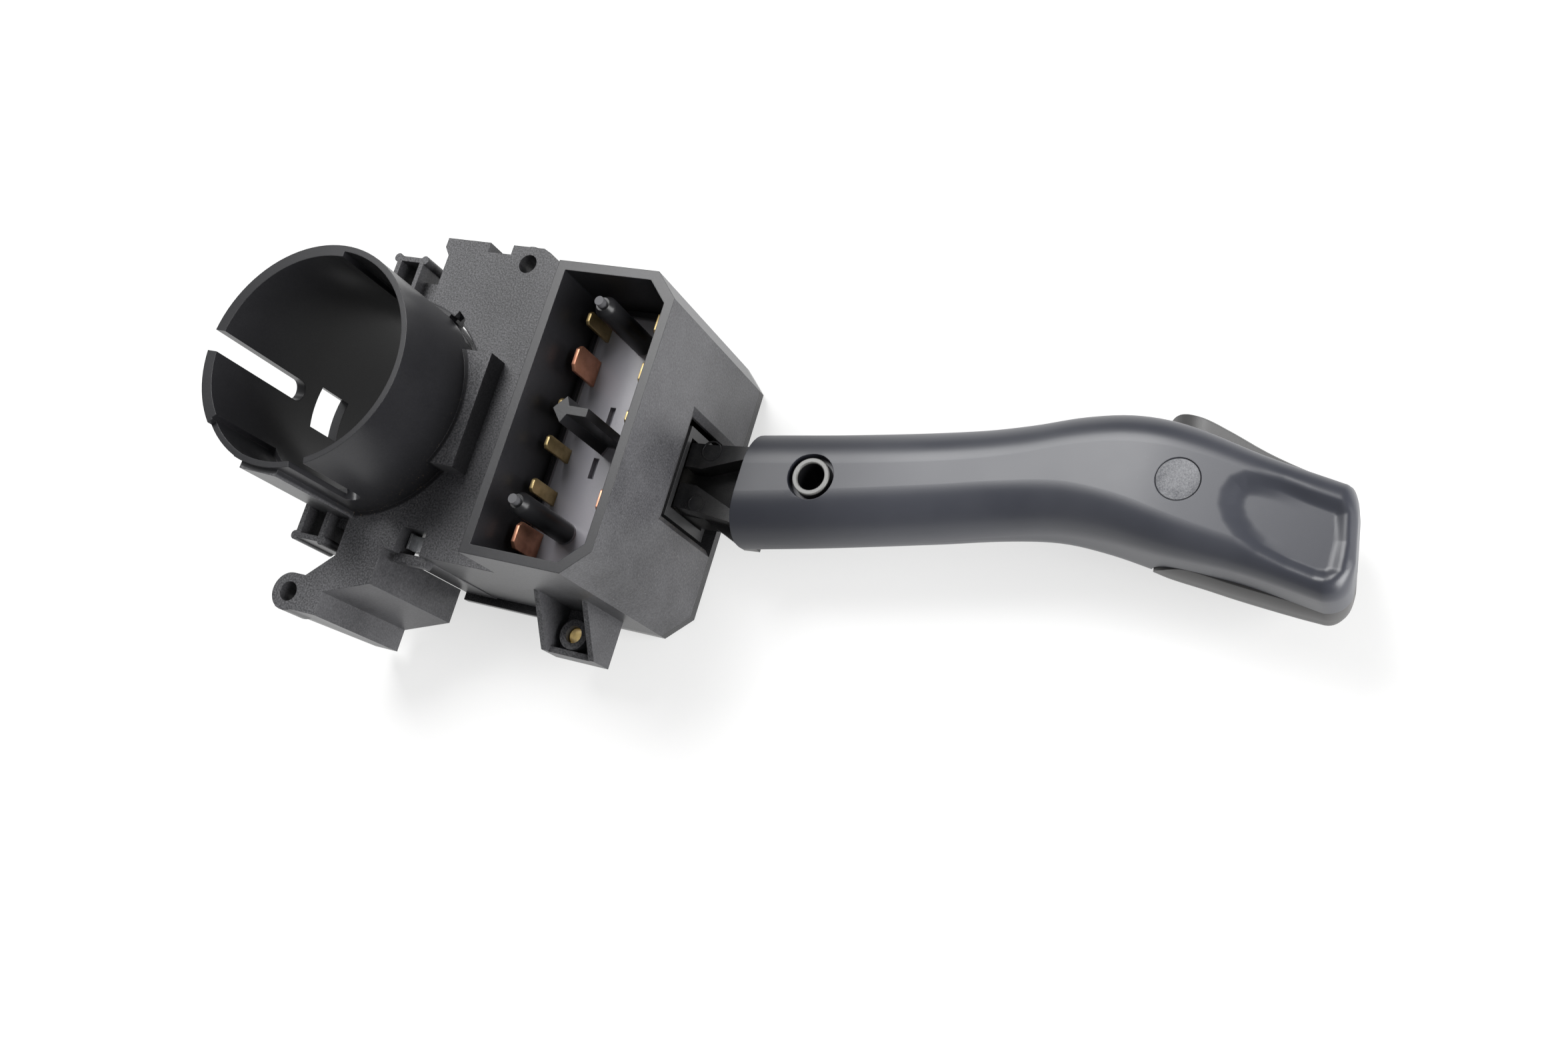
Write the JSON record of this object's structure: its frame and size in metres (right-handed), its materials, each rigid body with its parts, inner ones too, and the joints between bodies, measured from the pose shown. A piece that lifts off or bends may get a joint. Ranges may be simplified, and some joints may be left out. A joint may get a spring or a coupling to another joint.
{
  "type": "steering column turn signal stalk switch",
  "caption": "Column stalk switch: moulded housing with clamp collar and open plug socket, and a cranked lever that swings for the turn signals and rocks for dip and flash.",
  "frame": {"origin": "centre of the clamp collar's bore, at the height of the grained deck face", "axes": "+Z along the steering column towards the driver, +X out along the lever, +Y across the column towards the upper ear"},
  "size_m": [0.2124, 0.0835, 0.0582],
  "materials": {
    "housing_nylon": "fine grain",
    "cover_nylon": "smooth",
    "carrier_plastic": "satin",
    "carrier_nylon": "satin",
    "acetal": "satin",
    "lever_soft_finish": "satin soft-touch",
    "disc_plastic": "grained",
    "bush_plastic": "smooth",
    "brass": "stamped, satin",
    "copper": "stamped copper alloy, satin",
    "spring_steel": "bright",
    "steel": "ground",
    "zinc_steel": "zinc plated"
  },
  "bodies": {
    "column_module": {"housing": "housing_nylon", "back_cover": "cover_nylon", "terminal_carrier": "carrier_plastic", "threaded_insert": "brass", "spring_clip": "spring_steel", "turn_pin": "steel", "detent_cam": "acetal", "cancel_spring": "spring_steel", "blade_left_1": "brass", "blade_left_2": "copper", "blade_left_3": "brass", "blade_left_4": "brass", "blade_left_5": "brass", "blade_left_6": "copper", "blade_right_1": "brass", "blade_right_2": "brass", "blade_right_3": "brass", "blade_right_4": "copper", "cover_screw_1": "zinc_steel", "cover_screw_2": "zinc_steel", "cover_screw_3": "zinc_steel", "cover_screw_4": "zinc_steel"},
    "turn_yoke": {"turn_carrier": "carrier_nylon", "flash_pin": "steel", "turn_spring": "spring_steel"},
    "lever": {"lever_core": "housing_nylon", "lever_shell": "lever_soft_finish", "lever_back_shell": "lever_soft_finish", "lever_disc": "disc_plastic", "lever_bush": "bush_plastic", "flash_spring": "spring_steel"},
    "detent_plunger": {"turn_plunger": "acetal"},
    "level_plunger": {"flash_plunger": "acetal"},
    "self_cancel_pawl": {"cancel_pawl": "acetal"},
    "turn_contact_slider": {"turn_slider": "acetal", "turn_contact": "copper"},
    "dimmer_contact_slider": {"dimmer_slider": "acetal", "dimmer_contact": "copper"}
  },
  "joints": [
    {"name": "turn_signal", "type": "hinge", "parent": "column_module", "child": "turn_yoke", "pos_m": [0.048, 0.0006, -0.018], "axis": [0, 0, 1], "range_deg": [-9, 9]},
    {"name": "dip_flash", "type": "hinge", "parent": "turn_yoke", "child": "lever", "pos_m": [0.057, 0.0006, -0.022], "axis": [0, 1, 0], "range_deg": [-5, 5]},
    {"name": "detent_slide", "type": "slide", "parent": "turn_yoke", "child": "detent_plunger", "axis": [1, 0, 0], "range_m": [0, 0.0015], "stiffness_N_per_m": 400, "deforming": ["turn_spring"]},
    {"name": "level_slide", "type": "slide", "parent": "lever", "child": "level_plunger", "axis": [0, 0, 1], "range_m": [-0.00045, 0.00045], "deforming": ["flash_spring"]},
    {"name": "cancel_slide", "type": "slide", "parent": "column_module", "child": "self_cancel_pawl", "axis": [1, 0, 0], "range_m": [-0.0015, 0.002], "stiffness_N_per_m": 150, "deforming": ["cancel_spring"]},
    {"name": "turn_contact_slide", "type": "slide", "parent": "column_module", "child": "turn_contact_slider", "axis": [0, 1, 0], "range_m": [-0.0016, 0.0016]},
    {"name": "dimmer_contact_slide", "type": "slide", "parent": "turn_yoke", "child": "dimmer_contact_slider", "axis": [1, 0, 0], "range_m": [-0.00065, 0.00065]}
  ],
  "couplings": [
    {"joint": "turn_contact_slide", "follows": "turn_signal", "m_per_rad": 0.01},
    {"joint": "dimmer_contact_slide", "follows": "dip_flash", "m_per_rad": 0.00725},
    {"joint": "level_slide", "follows": "dip_flash", "m_per_rad": 0.005}
  ]
}
